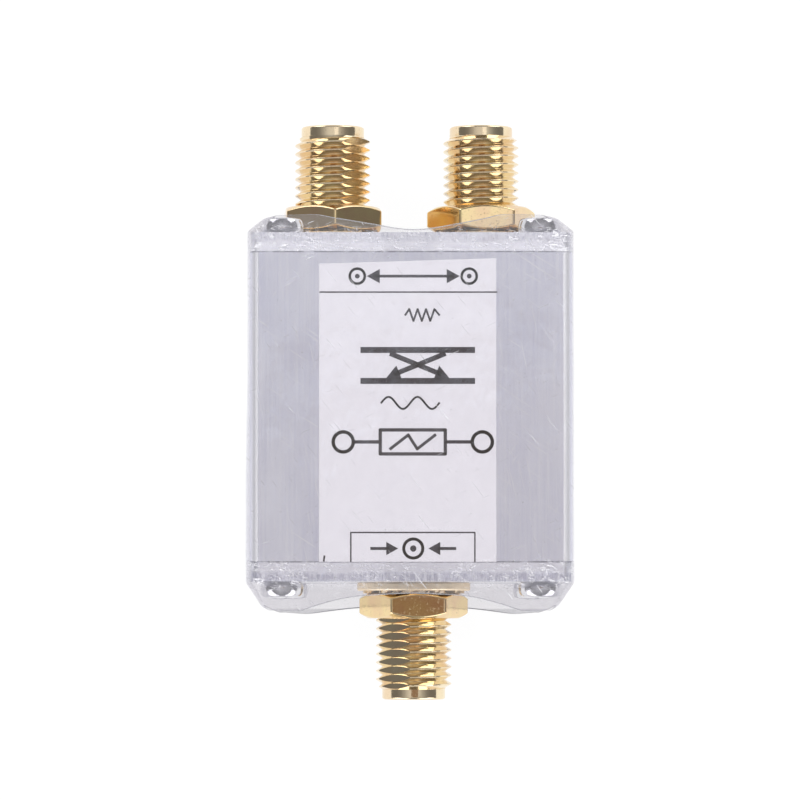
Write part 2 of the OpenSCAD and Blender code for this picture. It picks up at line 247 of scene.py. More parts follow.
class Finish:
    """A procedural material around a Principled shader. Its textures are laid out in millimetres."""

    def __init__(self, name, color, metallic=0.0, roughness=0.5, specular=0.5):
        self.material = bpy.data.materials.new(name)
        self.material.use_nodes = True
        self.tree = self.material.node_tree
        self.shader = self.tree.nodes["Principled BSDF"]
        self.set("Base Color", (*color, 1))
        self.set("Metallic", metallic)
        self.set("Roughness", roughness)
        self.set("Specular IOR Level", specular)
        self.place = self.add("ShaderNodeTexCoord").outputs["Object"]

    def set(self, socket, value):
        self.shader.inputs[socket].default_value = value

    def add(self, kind, **options):
        node = self.tree.nodes.new(kind)
        for key, value in options.items():
            setattr(node, key, value)
        return node

    def link(self, source, target):
        self.tree.links.new(source, target)

    def feed(self, target, value):
        if hasattr(value, "is_output"):
            self.link(value, target)
        else:
            target.default_value = value

    def noise(self, per_mm, detail=3.0, rough=0.55, turn=0.0, shift=0.0, distort=0.0):
        """Noise with so many features a millimetre along each axis."""
        mapping = self.add("ShaderNodeMapping")
        self.link(self.place, mapping.inputs["Vector"])
        if turn:
            first = self.add("ShaderNodeMapping")
            self.link(self.place, first.inputs["Vector"])
            first.inputs["Rotation"].default_value = (0, 0, math.radians(turn))
            self.link(first.outputs[0], mapping.inputs["Vector"])
        mapping.inputs["Scale"].default_value = [s / MM for s in per_mm]
        mapping.inputs["Location"].default_value = (shift, shift * 1.7, shift * 0.6)
        tex = self.add("ShaderNodeTexNoise")
        self.link(mapping.outputs[0], tex.inputs["Vector"])
        tex.inputs["Scale"].default_value = 1
        tex.inputs["Detail"].default_value = detail
        tex.inputs["Roughness"].default_value = rough
        tex.inputs["Distortion"].default_value = distort
        return tex.outputs["Fac"]

    def span(self, value, low, high, to_low=0.0, to_high=1.0):
        node = self.add("ShaderNodeMapRange")
        node.clamp = True
        self.feed(node.inputs["Value"], value)
        for key, number in zip(("From Min", "From Max", "To Min", "To Max"), (low, high, to_low, to_high)):
            node.inputs[key].default_value = number
        return node.outputs["Result"]

    def math(self, operation, a, b=0.0):
        node = self.add("ShaderNodeMath", operation=operation)
        self.feed(node.inputs[0], a)
        self.feed(node.inputs[1], b)
        return node.outputs[0]

    def times(self, a, b):
        return self.math("MULTIPLY", a, b)

    def total(self, a, weight_a, b, weight_b):
        """Weighted sum of two values."""
        return self.math("ADD", self.times(a, weight_a), self.times(b, weight_b))

    def blend(self, factor, a, b):
        node = self.add("ShaderNodeMix", data_type="RGBA")
        self.feed(node.inputs[0], factor)
        self.feed(node.inputs[6], (*a, 1) if isinstance(a, tuple) else a)
        self.feed(node.inputs[7], (*b, 1) if isinstance(b, tuple) else b)
        return node.outputs[2]

    def axis(self, name):
        """A coordinate of the place, in millimetres."""
        node = self.add("ShaderNodeSeparateXYZ")
        self.link(self.place, node.inputs[0])
        return self.math("DIVIDE", node.outputs[name], MM)

    def color(self, value):
        self.link(value, self.shader.inputs["Base Color"])

    def roughness(self, value):
        self.link(value, self.shader.inputs["Roughness"])

    def bump(self, height, depth, target=None):
        """Relief of a height from 0 to 1, so many millimetres deep."""
        node = self.add("ShaderNodeBump")
        node.inputs["Strength"].default_value = 1.0
        node.inputs["Distance"].default_value = depth * MM
        self.link(height, node.inputs["Height"])
        self.link(node.outputs[0], target or self.shader.inputs["Normal"])


def shade_gap(f, base, gap):
    """Darkens the line where tube and plate meet, in broken lengths."""
    broken = f.span(f.noise((1.3, 0.1, 1.3), detail=3, shift=15), 0.38, 0.5, 0.25, 1)
    return f.blend(f.times(gap, broken), base, (0.34, 0.34, 0.4))


def tube_finish():
    """Extruded metal: streaks along it, scratches across it, and a paler strip down each long edge that is a painted
    reflection, with painted shade on its outer part and two lines of painted shade down the left edge.
    """
    f = Finish("tube_aluminium", (0.86, 0.86, 0.95), metallic=0.9, roughness=0.44)
    streak = f.noise((5, 0.12, 5), detail=5, rough=0.6)
    fine = f.noise((26, 0.5, 26), detail=3, shift=3)
    cloud = f.noise((0.16, 0.1, 0.16), detail=2, shift=7)
    scratch = f.math("MAXIMUM", f.span(f.noise((0.25, 9, 1), detail=1, turn=33, shift=11), 0.67, 0.72),
                     f.span(f.noise((0.4, 12, 1), detail=1, turn=-58, shift=19), 0.67, 0.72))
    scratch = f.math("MAXIMUM", scratch, f.span(f.noise((0.2, 10, 1), detail=1, turn=78, shift=27), 0.68, 0.73))
    base = f.blend(f.span(f.total(streak, 0.5, cloud, 0.5), 0.36, 0.64), (0.76, 0.77, 0.885), (0.93, 0.94, 1.0))
    left = f.times(f.axis("X"), -1)
    out = f.math("ABSOLUTE", left)
    up = f.math("ABSOLUTE", f.math("SUBTRACT", f.axis("Z"), AXIS_Z))
    # Mask of the rounded long edges, which get a painted reflection (paler) and less metal.
    corner = f.span(f.math("MINIMUM", out, up), HALF_W - 0.76, HALF_W - 0.7)
    # Two dark lines of painted shade down the left long edge only.
    edge_shade_lines = f.math("MAXIMUM", f.span(f.math("ABSOLUTE", f.math("SUBTRACT", left, HALF_W - 0.7)), 0.03, 0.07, 1, 0),
                    f.span(f.math("ABSOLUTE", f.math("SUBTRACT", left, HALF_W - 0.37)), 0.02, 0.05, 0.6, 0))
    # Painted reflection: the rounded edges made paler.
    base = f.blend(corner, base, (0.99, 0.99, 1.0))
    base = f.blend(scratch, base, (0.95, 0.96, 1.0))
    turned = f.span(out, HALF_W - 0.34, HALF_W - 0.1)
    # Painted shade on the part of each rounded edge that turns to the side.
    base = f.blend(f.times(corner, turned), base, (0.88, 0.88, 0.97))
    # Painted shade: the two dark lines on the left edge.
    base = f.blend(f.times(edge_shade_lines, 0.5), base, (0.45, 0.45, 0.52))
    f.color(shade_gap(f, base, f.span(f.math("ABSOLUTE", f.axis("Y")), HALF_LEN - 0.08, HALF_LEN - 0.04)))
    f.link(f.span(corner, 0, 1, 0.83, 0.55), f.shader.inputs["Metallic"])
    f.roughness(f.span(fine, 0.3, 0.7, 0.35, 0.44))
    f.bump(f.math("ADD", f.times(fine, 0.4), streak), 0.004)
    return f.material


def plate_finish():
    """Sheet with a burnished band next to the tube and a torn one outside it, on its sheared edges. Painted shade
    makes the sample plate darker, and painted light gives the input plate's torn band fewer dark marks.
    """
    f = Finish("plate_aluminium", (0.9, 0.9, 0.94), metallic=0.65, roughness=0.42)
    out = f.math("ABSOLUTE", f.axis("Y"))
    wander = f.noise((0.7, 0.2, 0.7), detail=4)
    edge = f.math("ADD", out, f.times(wander, 0.5))
    geometry = f.add("ShaderNodeNewGeometry")
    normal = f.add("ShaderNodeSeparateXYZ")
    f.link(geometry.outputs["Normal"], normal.inputs[0])
    flank = f.span(f.math("ABSOLUTE", normal.outputs["Y"]), 0.35, 0.7, 1, 0)
    middle = HALF_LEN + 1.12
    torn = f.times(f.span(edge, middle - 0.14, middle + 0.14), flank)
    tear = f.noise((5, 1.1, 5), detail=4, rough=0.7, shift=4, distort=0.6)
    rub = f.noise((0.6, 9, 0.6), detail=4, shift=2)
    base = f.blend(f.span(rub, 0.35, 0.65), (0.86, 0.86, 0.93), (0.97, 0.97, 1.0))
    # Painted shade: the sample plate made darker than the input plate.
    base = f.blend(f.span(f.axis("Y"), -1, 1, 0.3, 0), base, (0.5, 0.5, 0.56))
    # Tear pattern, shifted per plate as painted light and shade: fewer dark marks on the input plate, more on the
    # sample plate.
    worn = f.math("ADD", tear, f.span(f.axis("Y"), -1, 1, 0.04, -0.1))
    marks = f.blend(f.span(worn, 0.4, 0.62), (0.92, 0.92, 0.97), (0.5, 0.5, 0.6))
    base = f.blend(f.times(torn, 0.85), base, marks)
    f.color(shade_gap(f, base, f.times(f.span(out, HALF_LEN + 0.03, HALF_LEN + 0.07, 1, 0), flank)))
    f.roughness(f.span(torn, 0, 1, 0.38, 0.52))
    f.bump(f.total(torn, tear, rub, 0.12), 0.04)
    return f.material


def gold_finish(name, pale, deep, rough, turned_depth, pit_depth):
    """Plating with drifting tone, fine marks from turning and a scatter of small pits."""
    f = Finish(name, pale, metallic=1, roughness=rough)
    patch = f.noise((0.5, 0.35, 0.5), detail=3)
    turned = f.noise((0.6, 24, 0.6), detail=3, shift=5)
    speck = f.noise((7, 7, 7), detail=2, shift=9)
    pits = f.span(f.noise((4.5, 4.5, 4.5), detail=3, rough=0.65, shift=13), 0.6, 0.7)
    tone = f.blend(f.span(patch, 0.35, 0.68), pale, deep)
    f.color(f.blend(f.times(pits, 0.35), tone, tuple(c * 0.6 for c in deep)))
    f.roughness(f.span(f.total(speck, 0.5, turned, 0.5), 0.35, 0.65, rough * 0.8, rough * 1.35))
    height = f.total(turned, turned_depth, speck, pit_depth * 0.5)
    f.bump(f.math("SUBTRACT", height, f.times(pits, pit_depth)), 1.0)
    return f.material


def plating_finish():
    """Bright plating with faint cloudy patches."""
    f = Finish("screw_plating", (0.86, 0.86, 0.88), metallic=1, roughness=0.14)
    fine = f.noise((14, 14, 14), detail=3)
    patch = f.noise((1.2, 1.2, 1.2), detail=3, shift=6)
    f.color(f.blend(f.span(patch, 0.35, 0.7), (0.86, 0.86, 0.88), (0.66, 0.66, 0.7)))
    f.roughness(f.span(fine, 0.3, 0.7, 0.08, 0.16))
    f.bump(fine, 0.004)
    return f.material


def plain_finish(name, dark, light, per_mm, rough, metallic=0.0, depth=0.004, specular=0.5):
    """A material whose colour, roughness and relief all wander with one grain."""
    f = Finish(name, light, metallic=metallic, roughness=rough, specular=specular)
    grain = f.noise(per_mm, detail=4)
    broad = f.noise(tuple(s * 0.12 for s in per_mm), detail=2, shift=8)
    f.color(f.blend(f.span(f.total(grain, 0.5, broad, 0.5), 0.35, 0.65), dark, light))
    f.roughness(f.span(grain, 0.3, 0.7, rough * 0.9, min(1, rough * 1.12)))
    f.bump(grain, depth)
    return f.material


def resistor_finish(name, body, band, lead_r, at_x):
    """Lacquered body with a band at each third, and tinned leads where it is narrow."""
    f = Finish(name, body, roughness=0.3)
    across = f.math("SUBTRACT", f.axis("X"), at_x)
    up = f.math("SUBTRACT", f.axis("Z"), AXIS_Z)
    far = f.math("SQRT", f.total(across, across, up, up))
    on_body = f.span(far, lead_r, lead_r + 0.05)
    ring = f.span(f.math("SINE", f.times(f.axis("Y"), 4.2)), 0.55, 0.65)
    speck = f.noise((6, 6, 6), detail=3)
    painted = f.blend(ring, body, band)
    f.color(f.blend(f.times(on_body, f.span(speck, 0.1, 0.6, 0.85, 1)), (0.72, 0.72, 0.74), painted))
    f.link(f.span(on_body, 0, 1, 1, 0), f.shader.inputs["Metallic"])
    f.roughness(f.span(speck, 0.3, 0.7, 0.22, 0.4))
    f.bump(speck, 0.006)
    return f.material


def film_layers(f, tint, haze_color, veil, gloss_color, gloss_rough, shine):
    """See-through, milky and glossy layers in place of the one shader. Returns the glossy one."""
    nodes = f.tree.nodes
    nodes.remove(f.shader)
    clear, haze, gloss = [f.add("ShaderNodeBsdf" + kind) for kind in ("Transparent", "Diffuse", "Glossy")]
    f.link(tint, clear.inputs["Color"])
    haze.inputs["Color"].default_value = (*haze_color, 1)
    gloss.inputs["Color"].default_value = (*gloss_color, 1)
    gloss.inputs["Roughness"].default_value = gloss_rough
    below = clear
    for factor, above in ((veil, haze), (shine, gloss)):
        mix = f.add("ShaderNodeMixShader")
        f.feed(mix.inputs[0], factor)
        f.link(below.outputs[0], mix.inputs[1])
        f.link(above.outputs[0], mix.inputs[2])
        below = mix
    f.link(below.outputs[0], nodes["Material Output"].inputs["Surface"])
    return gloss


def film_finish():
    """Clear film: mostly see-through, glossy at a glance, a little hazy, and crinkled over the plates, with painted
    glints along the crinkles, and painted shade on the lips and on the back lip's curled corners.
    """
    f = Finish("film_clear", (0.94, 0.94, 0.96), roughness=0.1)
    broad = f.noise((0.22, 0.16, 0.22), detail=3, shift=3)
    crease = f.noise((1.6, 0.5, 1.6), detail=3, shift=12, distort=0.5)
    speck = f.span(f.noise((4, 4, 4), detail=2, shift=21), 0.74, 0.79)
    scratch = f.math("MAXIMUM", f.span(f.noise((0.3, 8, 0.8), detail=1, turn=52, shift=31), 0.745, 0.775),
                     f.span(f.noise((0.5, 10, 0.8), detail=1, turn=-24, shift=41), 0.75, 0.78))
    along = f.math("ABSOLUTE", f.axis("Y"))
    lip = f.span(along, PLATE_FACE - 0.1, PLATE_FACE + 0.25)
    band = f.times(f.span(along, HALF_LEN - 0.3, HALF_LEN + 0.3),
                  f.span(along, PLATE_FACE + 0.2, PLATE_FACE + 0.9, 1, 0))
    band = f.times(band, f.span(f.math("ABSOLUTE", f.axis("X")), 7.5, 11.5, 0.35, 1))
    fold = f.noise((0.9, 2.6, 0.9), detail=2, turn=14, shift=51, distort=1.1)
    # White haze along the crinkle ridges near the plates, more towards the sides: painted glints.
    ridge_glint = f.span(f.math("ABSOLUTE", f.math("SUBTRACT", fold, 0.5)), 0.008, 0.026, 1, 0)
    patch = f.span(f.noise((1.4, 1.4, 1.4), detail=1, shift=61), 0.45, 0.55)
    ridge_glint = f.times(f.times(ridge_glint, band), patch)
    # The lips let through a little less than the sheet: painted shade for the object's shadow on the floor seen
    # through them.
    tint = f.blend(lip, (0.957, 0.955, 0.965), (0.935, 0.929, 0.94))
    # Painted shade on the back lip's corners past 2.1 mm, where the film curls round edge-on.
    curl_shade = f.times(f.span(along, PLATE_FACE + 2.1, PLATE_FACE + 2.25), f.span(f.axis("Z"), 3, 4, 1, 0))
    tint = f.blend(curl_shade, tint, (0.8, 0.795, 0.81))
    # Haze from real specks and scratches, and painted glints on the crinkle ridges.
    mark = f.math("MAXIMUM", f.times(f.math("MAXIMUM", speck, scratch), 0.5),
                  f.times(ridge_glint, 0.8))
    cloudy = f.math("ADD", f.span(broad, 0.35, 0.7, 0.01, 0.035), f.times(lip, 0.03))
    rim = f.add("ShaderNodeLayerWeight")
    rim.inputs["Blend"].default_value = 0.5
    shine = f.span(f.math("POWER", rim.outputs["Facing"], 4.0), 0, 1, 0.045, 0.28)
    gloss = film_layers(f, tint, (0.93, 0.93, 0.96), f.math("ADD", cloudy, mark), (0.97, 0.97, 1), 0.09, shine)
    f.bump(f.total(broad, 1.6, crease, 0.4), 0.05, target=gloss.inputs["Normal"])
    return f.material


def film_edge_finish():
    """The cut edge of the film, which shrank into a fine bead and looks greyer than the sheet; its tint is painted,
    dark low down as painted shade and pale near the top as a painted highlight.
    """
    f = Finish("film_edge", (0.9, 0.9, 0.93), roughness=0.12)
    # Painted shade darkens the bead low down; a painted highlight makes it pale towards the top.
    tint = f.blend(f.span(f.axis("Z"), 6, 20), (0.5, 0.5, 0.53), (0.93, 0.93, 0.95))
    veil = f.span(f.noise((2.5, 2.5, 2.5), detail=3), 0.3, 0.7, 0.15, 0.4)
    film_layers(f, tint, (0.8, 0.8, 0.84), veil, (0.8, 0.8, 0.8), 0.12, 0.28)
    return f.material


TUBE = tube_finish()
PLATE = plate_finish()
GOLD = gold_finish("gold_plating", (0.9, 0.77, 0.53), (0.85, 0.67, 0.46), 0.10, 0.0008, 0.0015)
NUT_GOLD = gold_finish("nut_plating", (0.86, 0.69, 0.38), (0.80, 0.57, 0.36), 0.09, 0.0, 0.002)
WASHER = gold_finish("washer_plating", (0.98, 0.84, 0.62), (0.92, 0.74, 0.5), 0.44, 0.004, 0.004)
SCREW = plating_finish()
PTFE = plain_finish("insulator_white", (0.86, 0.86, 0.82), (0.94, 0.94, 0.91), (5, 5, 5), 0.42)
COPPER = plain_finish("copper_wire", (0.66, 0.34, 0.2), (0.85, 0.5, 0.33), (8, 1.5, 8), 0.25, metallic=1)
TIN = plain_finish("solder", (0.55, 0.56, 0.58), (0.76, 0.77, 0.79), (5, 5, 5), 0.24, metallic=1, depth=0.02)
PAPER = plain_finish("label_paper", (0.73, 0.715, 0.745), (0.77, 0.755, 0.78), (9, 9, 9), 0.72,
                     depth=0.006, specular=0.2)
INK = plain_finish("label_ink", (0.016, 0.015, 0.02), (0.036, 0.034, 0.044), (7, 7, 7), 0.5, depth=0.003)
FILM = film_finish()
FILM_EDGE = film_edge_finish()
LOAD_BODY_R = 1.05
LOAD_X = node_box("load_resistor")[1].x - LOAD_BODY_R
TAP = resistor_finish("tap_lacquer", (0.12, 0.22, 0.38), (0.55, 0.12, 0.06), 0.4, jack_x("sample"))
LOAD = resistor_finish("load_lacquer", (0.52, 0.38, 0.2), (0.1, 0.05, 0.04), 0.3, LOAD_X)


# Housing

def build_tube():
    """Square tube with a round port for a screw down each inner corner."""
    wall, port, hole = 1.6, 2.3, 1.02
    lap = HALF_W - wall - SCREW_AT
    cut = math.sqrt(port ** 2 - lap ** 2)
    first, last = math.atan2(lap, -cut), math.atan2(-cut, lap)
    sweep = np.linspace(first, first + (2 * math.pi - (first - last)), 20)
    inner = []
    for k, (sx, sy) in enumerate(QUARTERS):
        arc = [(sx * (SCREW_AT + port * math.cos(a)), sy * (SCREW_AT + port * math.sin(a))) for a in sweep]
        inner += arc if k % 2 == 1 else arc[::-1]
    loops = [rounded_rect(HALF_W, (tube_hi.z - tube_lo.z) / 2, CORNER_R, 10), inner]
    loops += [circle(x, y, hole, 24) for x, y in SCREW_PLACES]
    verts, faces = prism(loops, 2 * HALF_LEN)
    verts = verts - np.array([0, 0, HALF_LEN])
    verts = np.column_stack([verts[:, 0], verts[:, 2], verts[:, 1] + AXIS_Z])
    tube = piece("housing_tube_dressed", verts, faces, TUBE, "housing_tube", smooth=30)
    bevel(tube, 0.07, 2, 50)


def build_plate(name, side, jacks):
    """Plate with a hole for each screw and each jack."""
    screw_hole, jack_hole = 1.1, 3.275
    loops = [rounded_rect(PLATE_HALF, PLATE_HALF, CORNER_R)]
    loops += [circle(x, y, screw_hole, 24) for x, y in SCREW_PLACES]
    loops += [circle(0, side * jack_x(jack), jack_hole, 64) for jack in jacks]
    verts, faces = prism(loops, PLATE_FACE - HALF_LEN)
    verts = to_end(verts + np.array([0, 0, HALF_LEN]), side)
    plate = piece(name + "_dressed", verts, faces, PLATE, name, smooth=30)
    bevel(plate, 0.12, 3, 50)


def cross_recess(turn, depth, span, width, top):
    """A tapered cross to cut a screw's drive, standing on local Z."""
    c, s = math.cos(turn), math.sin(turn)
    verts = []
    for z, arm, half in ((top - depth, span * 0.3, width * 0.4), (top + 0.3, span * 0.62, width * 0.62)):
        for k in range(4):
            for x, y in ((arm, -half), (arm, half), (half, half)):
                for _ in range(k):
                    x, y = -y, x
                verts.append((c * x - s * y, s * x + c * y, z))
    low, high = list(range(12)), list(range(12, 24))
    return verts, [low[::-1], high, *rings_to_faces(2, 12)]


def build_screws(name, side, first_turn):
    """Four domed screws with cross recesses, each turned further than the one before."""
    lo, hi = node_box(name)
    head_h = max(abs(hi.y), abs(lo.y)) - PLATE_FACE
    head_r, widest_h, shank_len, shank_r, tip_r, tip_h = 1.8, 0.45, 6, 1.0, 0.7, 0.35
    under, bulge, shoulder = 0.6, 1.6, 0.28
    side_lean, shoulder_end = math.radians(24), math.radians(75)
    recess_depth, recess_span, recess_width, turn_step = 0.85, 2.1, 0.52, 31
    shank_end = PLATE_FACE - HALF_LEN - shank_len
    profile = [(0.0, shank_end), (tip_r, shank_end), (shank_r, shank_end + tip_h), (shank_r, 0.0)]
    profile += [(head_r - under * (1 - math.cos(a)), widest_h + under * math.sin(a))
                for a in np.linspace(-math.asin(widest_h / under), 0, 10)[:-1]]
    profile += [(head_r - bulge * (1 - math.cos(a)), widest_h + bulge * math.sin(a))
                for a in np.linspace(0, side_lean, 10)]
    edge_r, edge_h = profile[-1]
    profile += [(edge_r + shoulder * (math.cos(a) - math.cos(side_lean)),
                 edge_h + shoulder * (math.sin(a) - math.sin(side_lean)))
                for a in np.linspace(side_lean, shoulder_end, 9)[1:]]
    edge_r, edge_h = profile[-1]
    profile += [(r, head_h - (head_h - edge_h) * (r / edge_r) ** 2) for r in np.linspace(edge_r, 0, 10)[1:]]
    columns = 64
    all_verts, all_faces = [], []
    for i, place in enumerate(SCREW_PLACES):
        turn = math.radians(first_turn + turn_step * i)
        screw = loose("screw_blank", lathe(profile, columns), rings_to_faces(len(profile), columns))
        drive = loose("screw_drive", *cross_recess(turn, recess_depth, recess_span, recess_width, head_h))
        verts, faces = mesh_arrays(cut_away(screw, drive))
        all_faces += shifted(faces, sum(len(v) for v in all_verts))
        all_verts.append(to_end(verts + np.array([*place, PLATE_FACE]), side))
    obj = piece(name + "_dressed", np.concatenate(all_verts), all_faces, SCREW, name, smooth=28)
    bevel(obj, 0.035, 2, 35)


# Jacks

PITCH = 25.4 / 36
THREAD_DEPTH = 0.5
FLAT_DEPTH = 0.43
# Half a turn of the thread: share of the pitch, and depth below the crest
THREAD_HALF = [(0.045, 0), (0.065, 0.006), (0.085, 0.02), (0.1, 0.038), (0.455, THREAD_DEPTH - 0.028),
               (0.475, THREAD_DEPTH - 0.01), (0.49, THREAD_DEPTH)]


def build_shell(jack, flat_turn, phase):
    """Threaded body with its mouth, the flat along its thread, and the flange behind the plate."""
    thread = MOUNTS[f"{jack}_jack_thread"]
    crest = thread["dims"]["r_mm"]
    middle = abs(thread["pos_m"][1]) / MM
    start = middle - thread["dims"]["length_mm"] / 2
    end = middle + thread["dims"]["length_mm"] / 2
    lo, hi = node_box(f"{jack}_jack_shell")
    tip = max(abs(lo.y), abs(hi.y))
    back = min(abs(lo.y), abs(hi.y))
    mouth = MOUNTS[f"{jack}_jack_mouth"]
    mouth_r = mouth["dims"]["r_mm"]
    mouth_floor = tip - mouth["dims"]["length_mm"]
    lead_r, bevel_len, bore_r, collar_r, neck_r, run_in = 2.65, 0.35, 2.085, 2.8, 2.9, 0.6
    root_r, collar_end = neck_r - 0.4, HALF_LEN - 0.8
    columns = 192
    shape = THREAD_HALF + [(1 - at, depth) for at, depth in THREAD_HALF[::-1]]
    low, high = start - run_in, end + bevel_len
    turns = int((high - low) / PITCH) + 3
    share = np.arange(columns) / columns
    rows = []
    for m in range(-2, turns):
        for at, depth in shape:
            h = low + PITCH * (m + at + share + phase)
            r = np.full(columns, crest - depth)
            r = np.minimum(r, crest - np.clip((h - end) / bevel_len, 0, 1) * (crest - lead_r))
            r = np.where(h >= high, lead_r, np.where(h <= low, root_r, r))
            h = np.clip(h, low, high)
            rows.append(np.column_stack([r * np.cos(share * 2 * math.pi), r * np.sin(share * 2 * math.pi), h]))
    verts = np.concatenate(rows)
    step = len(shape)
    faces = []
    for j in range(len(rows) - 1):
        for i in range(columns):
            if i < columns - 1:
                a, b, c, d = (j, i), (j, i + 1), (j + 1, i + 1), (j + 1, i)
            else:
                if j + 1 + step >= len(rows):
                    continue
                a, b, c, d = (j, i), (j + step, 0), (j + 1 + step, 0), (j + 1, i)
            faces.append([p * columns + q for p, q in (a, b, c, d)])
    outer = round_profile([(lead_r, high), (lead_r, high + 0.03), (lead_r, tip - 0.12), (lead_r - 0.12, tip),
                           (mouth_r + 0.08, tip), (mouth_r, tip - 0.1), (mouth_r, mouth_floor),
                           (bore_r, mouth_floor)], 0.06)
    outer += [(bore_r, back), (collar_r - 0.15, back), (collar_r, back + 0.15), (collar_r, collar_end),
              (neck_r, collar_end), (neck_r, low - 0.3), (root_r, low)]
    first = len(verts)
    verts = np.concatenate([verts, lathe(outer, columns)])
    faces += rings_to_faces(len(outer), columns, first)
    body = loose("shell_blank", verts, faces)
    c, s = math.cos(math.radians(flat_turn)), math.sin(math.radians(flat_turn))
    block, flat_at, deep, wide = [], crest - FLAT_DEPTH, 4, 6
    for h in (HALF_LEN, tip + 1):
        for u, v in ((flat_at, -wide), (flat_at + deep, -wide), (flat_at + deep, wide), (flat_at, wide)):
            block.append((c * u - s * v, s * u + c * v, h))
    flat = loose("shell_flat", block, [(0, 3, 2, 1), (4, 5, 6, 7), *rings_to_faces(2, 4)])
    verts, faces = mesh_arrays(cut_away(body, flat))
    flange, flange_faces = hexagon_flange(flat_turn)
    faces += shifted(flange_faces, len(verts))
    verts = to_jack(np.concatenate([verts, flange]), jack)
    shell = piece(f"{jack}_jack_shell_dressed", verts, faces, GOLD, f"{jack}_jack_shell", smooth=38)
    facing = Vector((SIDES[jack] * s, 0, c))
    for polygon in shell.data.polygons:
        if polygon.normal.dot(facing) > 0.9999:
            polygon.use_smooth = False


def hexagon_flange(turn):
    """The flange behind the plate, with its corners turned off."""
    columns, half, turned_r, bore = 96, 4.0, 4.5, 2.5
    front, back, edge = HALF_LEN, HALF_LEN - 1.6, 0.15
    a = np.arange(columns) * 2 * math.pi / columns
    fold = (a - math.radians(turn) + math.pi / 6) % (math.pi / 3) - math.pi / 6
    rim = np.minimum(half / np.cos(math.pi / 6 - np.abs(fold)), turned_r)
    rings = [(bore, front), (rim, front), (rim, back + edge), (rim - edge, back), (bore, back)]
    return lathe(rings, columns), rings_to_faces(len(rings), columns, closed=True)


def build_nut(jack, corner_turn):
    """Hexagon nut with both faces turned to a cone and its edges worn round."""
    lo, hi = node_box(f"{jack}_jack_nut")
    seat, end = sorted((abs(lo.y), abs(hi.y)))
    columns, half, slope = 360, 4.0, math.tan(math.radians(30))
    face_r, bore, sink = half * 0.96, 2.98, 3.34
    a = np.arange(columns) * 2 * math.pi / columns
    fold = np.stack([np.cos(a - math.radians(corner_turn + 30 + 60 * k)) for k in range(6)])
    rim = half / (np.clip(fold, 0, None) ** 90).sum(0) ** (1 / 90)
    rise = (rim - face_r) * slope
    cut, near = 0.075, 0.02
    rings = [(bore, seat + 0.3), (sink, seat), (face_r - cut - near, seat), (face_r - cut, seat),
             (face_r + cut * 0.8, seat + cut * 0.4), (face_r + cut * 1.1, seat + cut * 1.1 * slope)]
    out = [(rim - cut - near, seat + rise - (cut + near) * slope), (rim - cut, seat + rise - cut * slope),
           (rim - cut * 0.25, seat + rise + cut * 0.3), (rim, seat + rise + cut), (rim, seat + rise + cut + near)]
    flat_side = len(rings)
    rings += out + [(r, seat + end - h) for r, h in out[::-1]]
    rings += [(r, seat + end - h) for r, h in rings[flat_side - 1::-1]]
    faces = rings_to_faces(len(rings), columns, closed=True)
    piece(f"{jack}_jack_nut_dressed", to_jack(lathe(rings, columns), jack), faces, NUT_GOLD,
          f"{jack}_jack_nut", smooth=42)


BOX_FACES = ((0, 1, 3, 2), (4, 6, 7, 5), (0, 2, 6, 4), (1, 5, 7, 3), (0, 4, 5, 1), (2, 3, 7, 6))


def build_washer(jack):
    """Lock washer: a ring, and twisted teeth inside it that hold the nut a little off it."""
    lo, hi = node_box(f"{jack}_jack_washer")
    seat, top = sorted((abs(lo.y), abs(hi.y)))
    outer = (hi.x - lo.x) / 2
    inner, tooth_in, ring_t, tooth_t, tooth_half = outer - 0.8, 3.325, 0.68, 0.5, 0.4
    columns, count = 120, 12
    section = round_profile([(inner, seat + ring_t / 2), (inner, seat), (outer, seat), (outer, seat + ring_t),
                             (inner, seat + ring_t), (inner, seat + ring_t / 2)], 0.14)[:-1]
    verts = [lathe(section, columns)]
    faces = rings_to_faces(len(section), columns, closed=True)
    for k in range(count):
        a = 2 * math.pi * k / count
        corners = []
        for r in (tooth_in, inner + 0.3):
            for t, low in ((-tooth_half, seat), (tooth_half, top - tooth_t)):
                for h in (low, low + tooth_t):
                    corners.append((r * math.cos(a) - t * math.sin(a), r * math.sin(a) + t * math.cos(a), h))
        faces += shifted(BOX_FACES, sum(len(v) for v in verts))
        verts.append(np.array(corners))
    piece(f"{jack}_jack_washer_dressed", to_jack(np.concatenate(verts), jack), faces, WASHER,
          f"{jack}_jack_washer", smooth=40)


# Label

SHEET_MIDDLE = (410.75, 406.5)
SHEET_SCALE = 12.23


def label_point(px, py):
    """Place on the label of a point laid out on an 800-unit sheet, so many units a millimetre."""
    return (px - SHEET_MIDDLE[0]) / SHEET_SCALE, (SHEET_MIDDLE[1] - py) / SHEET_SCALE


